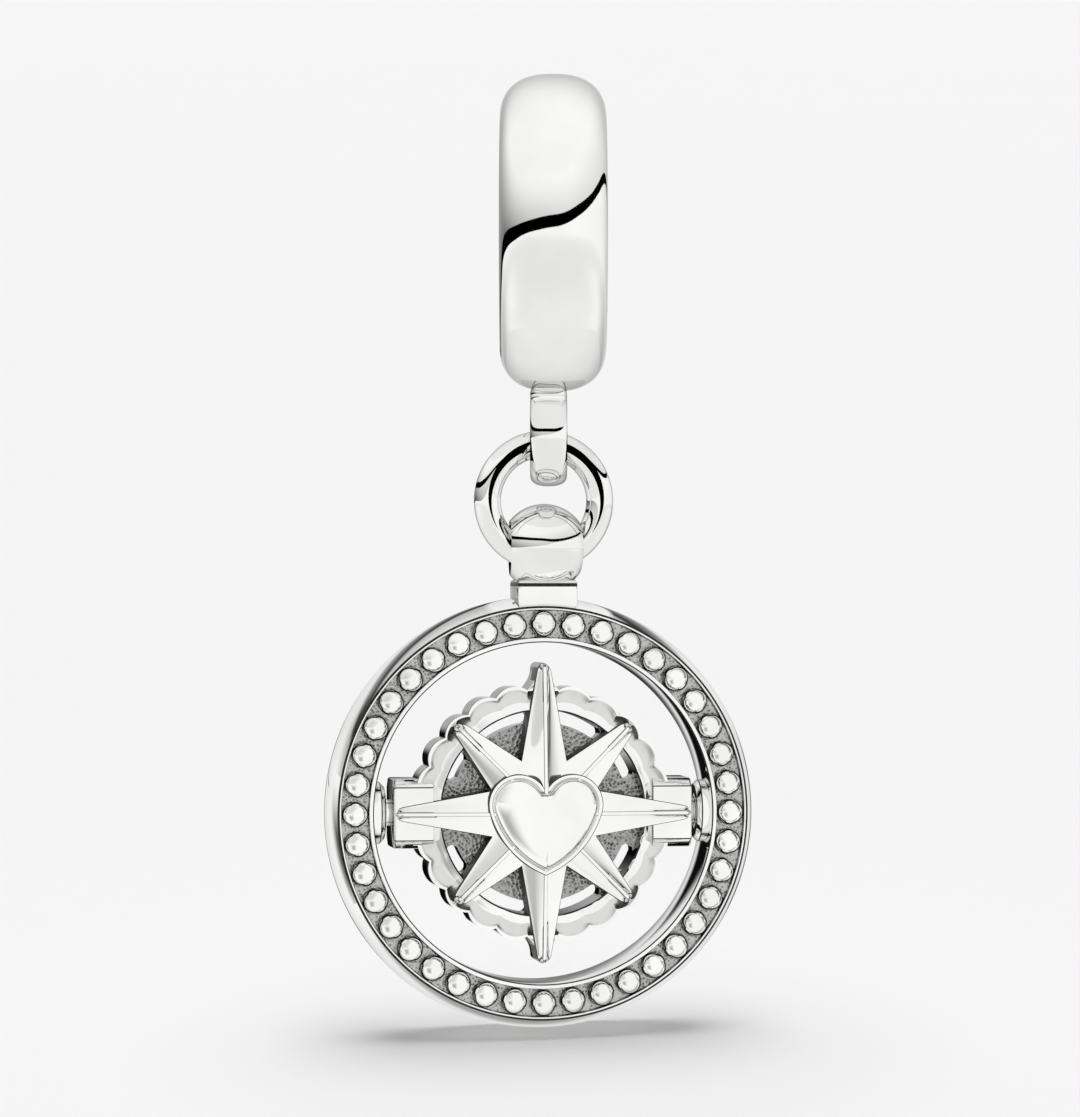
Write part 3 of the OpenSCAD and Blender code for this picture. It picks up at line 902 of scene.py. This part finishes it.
# Each piece of the rose: its shells and materials. The two level spokes, under the lugs, are the wide ones
straight = math.pi / 2
spokes = [
    spoke(rose, k * straight / 2, rose["spokeLevelAngle"] if k % 4 == 0 else rose["spokeAngle"])
    for k in range(8)
]
rosePieces = {
    "scallopRing": ([scallopRing(rose)], [polished, grooveBed, paintedShadeLine]),
    "backPlate": ([plateDisc(rose), *spokes], [plateBed, polished]),
    "mainRays": ([rayShell(rays["main"], k * straight) for k in range(4)], [polished, paintedShadeLine]),
    "smallRays": ([rayShell(rays["small"], (k + 0.5) * straight) for k in range(4)], [polished, paintedShadeLine]),
    "tipWebs": ([webShell(rays["main"], flip) for flip in (1, -1)], [polished]),
    "roseLugs": ([lugShell(lugs, side) for side in (1, -1)], [polished, paintedShadeLine]),
    "roseHeart": ([heartShell(heartSizes)], [polished, paintedShadeLine]),
}
for name, (shells, materials) in rosePieces.items():
    layMesh(name, [placed(s, onDrop) for s in shells], materials, "rose", "compass_rose")
for name, node, side in (("pinLeft", "pivot_pin_left", -1), ("pinRight", "pivot_pin_right", 1)):
    layMesh(name, [placed(pinShell(pins, side), onDrop)], [polished], "rose", node)
print("compass rose and pins laid")


# Studio

studio = {
    "floorGap": 0.12,  # mm between the frame's lowest point and the floor
    "floorTilt": 8.6,  # degrees by which the floor rises towards the back
    "halfWide": 900.0,
    "frontEdge": -900.0,
    "backEdge": 1600.0,
    "coveRadius": 300.0,
    "wallTop": 900.0,
    "skyStrength": 0.31,
    "bankStrength": 2.06,
    "bankAngle": 46.0,  # degrees that the overhead light spans
    "bankTilt": 2.0,  # degrees by which it stands behind the pendant
    "cameraDistance": 140.0,
    "pixelSize": 0.0296,  # mm in the plane of the pendant
    "middlePixel": (553, 233),  # where the bead's middle lies in the photograph
}


# Pale card: dead matt board, so that the pendant's shadow reads and nothing shines
def paleBoard():
    material, tree = newMaterial("pale matt board")
    where = addNode(tree, "ShaderNodeTexCoord").outputs["Object"]
    fibre = addNode(tree, "ShaderNodeTexNoise", {"Vector": where, "Scale": perMetre(40.0), "Detail": 2.0})
    tone = addNode(tree, "ShaderNodeMapRange", {
        "Value": fibre.outputs["Fac"], "To Min": 0.945, "To Max": 0.955,
    })
    board = addNode(tree, "ShaderNodeBsdfDiffuse", {"Color": tone.outputs["Result"]})
    addNode(tree, "ShaderNodeOutputMaterial", {"Surface": board.outputs["BSDF"]})
    return material


# Sweep: a floor that turns up through a quarter circle into a wall, the same line carried from side to side
def sweepBoard(s, floorLevel):
    a = np.linspace(0, math.pi / 2, 25)
    r = s["coveRadius"]
    line = np.vstack([
        [[s["frontEdge"], floorLevel]],
        np.stack([s["backEdge"] - r + r * np.sin(a), floorLevel + r - r * np.cos(a)], -1),
        [[s["backEdge"], s["wallTop"]]],
    ])
    c, n = math.cos(math.radians(s["floorTilt"])), math.sin(math.radians(s["floorTilt"]))
    level = line[:, 1] - floorLevel
    line = np.stack([line[:, 0] * c - level * n, floorLevel + line[:, 0] * n + level * c], -1)
    across = np.array([-1, 0, 1])[None] * s["halfWide"]
    return np.stack([across + 0 * line[:, :1], line[:, :1] + 0 * across, line[:, 1:] + 0 * across], -1)


# Puts a board on the stage; with a light level for each vertex it glows and only the polished metal sees it
def stageMesh(name, grid, material, level=None):
    points, faces, _ = gridShell(grid, closeRows=False, closeColumns=False)
    mesh = bpy.data.meshes.new(name)
    mesh.from_pydata(points * millimetre, [], faces)
    mesh.materials.append(material)
    mesh.shade_smooth()
    board = bpy.data.objects.new(name, mesh)
    bpy.context.scene.collection.objects.link(board)
    if level is not None:
        values = np.broadcast_to(level, grid.shape[:2]).ravel()
        mesh.attributes.new("level", "FLOAT", "POINT").data.foreach_set("value", values)
        board.visible_camera = board.visible_diffuse = board.visible_shadow = False
    return board


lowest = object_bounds()[0].z / millimetre
sweep = stageMesh("studioSweep", sweepBoard(studio, lowest - studio["floorGap"]), paleBoard())
sweep.visible_glossy = False  # the metal mirrors the tent instead


# Cloth and cards of the light tent: each vertex glows at its own level
def tentCloth():
    material, tree = newMaterial("lit tent cloth")
    level = addNode(tree, "ShaderNodeAttribute", attribute_name="level")
    cloth = addNode(tree, "ShaderNodeEmission", {"Color": level.outputs["Fac"]})
    addNode(tree, "ShaderNodeOutputMaterial", {"Surface": cloth.outputs["Emission"]})
    material.cycles.emission_sampling = "NONE"
    return material


cloth = tentCloth()


# 0 below low, 1 above high, an even S between
def eased(value, low, high):
    t = np.clip((value - low) / (high - low), 0, 1)
    return t * t * (3 - 2 * t)


# Ribbon round the pendant between two elevations at each way round, seen from a height on its middle line.
# Ways round are degrees: 0 in front, 90 at the right, 180 behind
def ribbon(around, distance, low, high, rows=2, seenFrom=0.0):
    a = np.radians(around)[:, None]
    lift = np.radians(low[:, None] + (high - low)[:, None] * np.linspace(0, 1, rows)[None])
    d = distance[:, None]
    return np.stack([d * np.sin(a) + 0 * lift, -d * np.cos(a) + 0 * lift, seenFrom + d * np.tan(lift)], -1)


# Black tape on the tent: its course, mm away, degrees thick, and how dark the cloth is just above it
tape = {
    "around": (-180, -150, -120, -90, -60, -30, 0, 15, 30, 45, 60, 90, 120, 150, 180),
    "elevation": (-2, -4, -1.5, -2, -2, 0.4, 3.6, 7, 11, 13.4, 15.4, 17, 14.5, 8, 0),
    "distance": (60, 40, 30, 25, 22, 24, 28, 39, 60, 85, 106, 114, 90, 70, 60),
    "thickness": (0.2, 2, 5, 6.5, 7.5, 7.5, 8, 8, 8, 7, 6, 4.5, 3, 1, 0.2),  # degrees
    "shade": (0.1, 0.85, 0.95, 0.85, 0.65, 0.45, 0.35, 0.3, 0.3, 0.3, 0.3, 0.25, 0.2, 0.1, 0.1),
    "shadeDistance": 200.0,
    "shadeHeight": 32.0,  # degrees above the tape over which the shade fades
    "shadeRows": 12,
    "shadeFade": 1.3,  # power of the fade
    "smoothing": 41,  # degrees round that the running mean spans
}
wayRound = np.linspace(-180, 180, 361)


# Smooth curve through a row of the table: straight lines between its values, then a running mean
def tapeRow(key):
    value = np.interp(wayRound, tape["around"], tape[key])
    span = tape["smoothing"]
    window = np.hanning(span)
    wrapped = np.concatenate([value[-span:-1], value, value[1:span]])
    return np.convolve(wrapped, window / window.sum(), "same")[span - 1:1 - span]


middle, half = tapeRow("elevation"), tapeRow("thickness") / 2
stageMesh("tapeLine", ribbon(wayRound, tapeRow("distance"), middle - half, middle + half), cloth, 0.0)
shadeTop, shadeDistance = middle + tape["shadeHeight"], np.full(len(wayRound), tape["shadeDistance"])
fade = (1 - np.linspace(0, 1, tape["shadeRows"])[None]) ** tape["shadeFade"]
stageMesh("tapeShade", ribbon(wayRound, shadeDistance, middle, shadeTop, tape["shadeRows"]), cloth,
          1 - tapeRow("shade")[:, None] * fade)

# Cards: degrees round and up that each one spans, mm away, its tone and the share that is soft border. The
# flags behind draw dark outlines on frame and rose, the others shade the sides of their walls
cardHeight = -17.1  # mm, that of the rose's middle, from which the cards are seen
cards = {
    "rearFlag": {"around": (148, 187), "lift": (-18, 8), "distance": 38, "grey": "#181818", "soft": 0.25},
    "rearLeftFlag": {"around": (186, 206), "lift": (-20, 9), "distance": 38, "grey": "#101010", "soft": 0.2},
    "leftDark": {"around": (-122, -82), "lift": (-36, 8), "distance": 42, "grey": "#303030", "soft": 0.45},
    "rightDark": {"around": (94, 128), "lift": (-30, 8), "distance": 42, "grey": "#303030", "soft": 0.45},
    "leftGrey": {"around": (-66, -8), "lift": (-56, 8), "distance": 44, "grey": "#B4B4B4", "soft": 0.45},
}


# Card: part of a ribbon, at its own level in the middle and soft towards its borders
def card(c, steps=31):
    u = np.linspace(0, 1, steps)
    border = np.minimum(np.minimum(u, 1 - u)[:, None], np.minimum(u, 1 - u)[None])
    way = c["around"][0] + (c["around"][1] - c["around"][0]) * u
    low, high = (np.full(steps, float(e)) for e in c["lift"])
    grid = ribbon(way, np.full(steps, float(c["distance"])), low, high, steps, cardHeight)
    return grid, 1 + eased(border, 0, c["soft"]) * (linear(c["grey"])[0] - 1)


for name, size in cards.items():
    grid, level = card(size)
    stageMesh(name, grid, cloth, level)

# Shelf: a level disc round the bail's foot that parts the light on the bead from that on the frame. Each part
# of its two cloths says how much darker than white it is and where, in mm or degrees: a middle and a span, or
# the ends of a soft step
shelf = {
    "height": -10.5,
    "radii": (1.34, 300.0),
    "apart": 0.06,  # mm between the upper and the lower cloth
    "bail": 2.0,  # mm round the bail that the lower cloth leaves white
    "top": {"dark": 0.13, "rearDark": 0.16, "ends": (20, 140)},
    "patches": {"bearing": (92, 30), "out": (20, 14)},  # white, at the sides of the upper cloth
    "overhead": {"dark": 0.4, "back": (0, 1.0)},
    "behind": {"dark": 0.7, "starts": (0.1, 0.5), "ends": (1.5, 4.0)},
    "flanks": {"dark": 0.6, "starts": (9, 16), "bearing": (96, 14)},
    "leftFront": {"dark": 0.3, "starts": (3, 9)},
    "darkest": 0.05,
}


# Bell curve: 1 at the middle, 1/e one span away
def bell(value, middle, span):
    return np.exp(-((value - middle) / span) ** 2)


# Level disc about the vertical axis: x and y of rings of the given radii, and the radii as a column
def levelDisc(radii, angles):
    rho = radii[:, None]
    return rho * np.sin(angles), -rho * np.cos(angles), rho


turn = np.radians(np.linspace(-180, 180, 121))[None]
bearing = np.abs(np.degrees(turn))
shelfX, shelfY, rho = levelDisc(np.geomspace(*shelf["radii"], 44), turn)
top, patches, overhead, behind = (shelf[k] for k in ("top", "patches", "overhead", "behind"))
flanks, leftFront = shelf["flanks"], shelf["leftFront"]
white = bell(bearing, *patches["bearing"]) * bell(rho, *patches["out"])
rearPart = eased(shelfY / rho, 0.3, 0.9)
near = 1 - eased(rho, *top["ends"])
above = 1 - (top["dark"] - top["dark"] * white + top["rearDark"] * rearPart) * near
outside = rho > shelf["bail"]
overPart = overhead["dark"] * bell(shelfY, *overhead["back"]) * outside
behindSoft = eased(shelfY, *behind["starts"]) * (1 - eased(shelfY, *behind["ends"]))
behindPart = behind["dark"] * behindSoft * outside
flankPart = flanks["dark"] * eased(rho, *flanks["starts"]) * bell(bearing, *flanks["bearing"])
quarter = eased(-shelfX / rho, 0.2, 0.8) * eased(-shelfY / rho, 0.0, 0.5)
leftPart = leftFront["dark"] * quarter * eased(rho, *leftFront["starts"])
below = np.clip(1 - overPart - flankPart - leftPart - behindPart, shelf["darkest"], 1)
for name, side, level in (("shelfTop", 0.5, above), ("shelfUnder", -0.5, below)):
    height = shelf["height"] + side * shelf["apart"] + 0 * shelfX
    stageMesh(name, np.stack([shelfX, shelfY, height], -1), cloth, level)

# Collar: a small pale disc between bead and eye, so that neither mirrors the other
collar = {"innerRadius": 1.15, "outerRadius": 4.0, "height": -4.76, "level": 0.87}
collarX, collarY, _ = levelDisc(np.linspace(collar["innerRadius"], collar["outerRadius"], 5), turn)
collarGrid = np.stack([collarX, collarY, collar["height"] + 0 * collarX], -1)
stageMesh("collar", collarGrid, cloth, collar["level"])

# Flag: a black arc held just in front of the jump ring, widest at its top and as narrow as a hair at its
# ends, which draws the dark line along the ring's wire
flag = {
    "from": -38.0,  # degrees round, 0 at the right and 90 at the top
    "to": 212.0,
    "radius": 1.66,
    "halfWide": 0.41,
    "right": 0.12,  # mm from the ring's middle
    "up": 0.06,
    "ahead": 0.8,
    "hair": 0.02,
}
sweepAngle = np.radians(np.linspace(flag["from"], flag["to"], 61))[:, None]
taper = np.sin(np.linspace(flag["hair"], math.pi - flag["hair"], 61))[:, None]
flagRadius = flag["radius"] + flag["halfWide"] * taper * np.array([[-1, 1]])
flagArc = np.stack([
    flag["right"] + flagRadius * np.cos(sweepAngle),
    flag["up"] + flagRadius * np.sin(sweepAngle),
    flag["ahead"] + 0 * flagRadius,
], -1)
stageMesh("ringFlag", onDrop(flagArc) - dropMiddle + ringMiddle, cloth, 0.0)

# Dome: the tent itself, plain white, and far outside it a pale sphere that the camera sees past the sweep
tentRadius = 500.0
backdrop = {"timesTent": 6, "level": 0.905}
lift = np.radians(np.linspace(-90, 90, 61))[None]
domeGrid = np.stack([
    tentRadius * np.cos(lift) * np.sin(turn.T),
    -tentRadius * np.cos(lift) * np.cos(turn.T),
    tentRadius * np.sin(lift) + 0 * turn.T,
], -1)
stageMesh("tentDome", domeGrid, cloth, 1.0)
farSphere = stageMesh("farBackdrop", backdrop["timesTent"] * domeGrid, cloth, backdrop["level"])
farSphere.visible_camera, farSphere.visible_glossy = True, False

# Strip under the frame that darkens edges which face down: darkest along its middle, white at its sides
under = {"halfLength": 14.0, "halfWide": 4.0, "height": -24.5, "dark": 0.6, "span": 0.9}
stripX = np.linspace(-under["halfLength"], under["halfLength"], 3)[:, None]
stripY = np.linspace(-under["halfWide"], under["halfWide"], 17)[None]
strip = np.stack([stripX + 0 * stripY, stripY + 0 * stripX, under["height"] + 0 * stripX + 0 * stripY], -1)
stageMesh("underStrip", strip, cloth, 1 - under["dark"] * bell(stripY, 0, under["span"]) + 0 * stripX)

world = bpy.data.worlds.new("white tent")
bpy.context.scene.world = world
world.use_nodes = True
sky = world.node_tree
sky.nodes.clear()
tent = addNode(sky, "ShaderNodeBackground", {"Color": linear("#FFFFFF"), "Strength": studio["skyStrength"]})
addNode(sky, "ShaderNodeOutputWorld", {"Surface": tent.outputs["Background"]})

# Broad soft light from straight above, which lays the shadow under the pendant
lamp = bpy.data.objects.new("overheadBank", bpy.data.lights.new("overheadBank", "SUN"))
bpy.context.scene.collection.objects.link(lamp)
lamp.data.energy, lamp.data.angle = studio["bankStrength"], math.radians(studio["bankAngle"])
lamp.rotation_euler = (-math.radians(studio["bankTilt"]), 0, 0)
lamp.visible_glossy = False

view = bpy.context.scene.view_settings
view.view_transform, view.look, view.exposure, view.gamma = "Standard", "None", 0.0, 1.0

camera = bpy.data.objects.new("camera", bpy.data.cameras.new("camera"))
bpy.context.scene.collection.objects.link(camera)
bpy.context.scene.camera = camera
seen = imageSize["height"] * studio["pixelSize"]  # mm from top to bottom of the picture, at the pendant
camera.data.sensor_width = 36
camera.data.lens = camera.data.sensor_width * studio["cameraDistance"] / seen
camera.data.clip_start, camera.data.clip_end = 0.001, 10
camera.location = Vector((
    (imageSize["width"] / 2 - studio["middlePixel"][0]) * studio["pixelSize"],
    -studio["cameraDistance"],
    (studio["middlePixel"][1] - imageSize["height"] / 2) * studio["pixelSize"],
)) * millimetre
camera.rotation_euler = (math.pi / 2, 0, 0)
print("studio set")
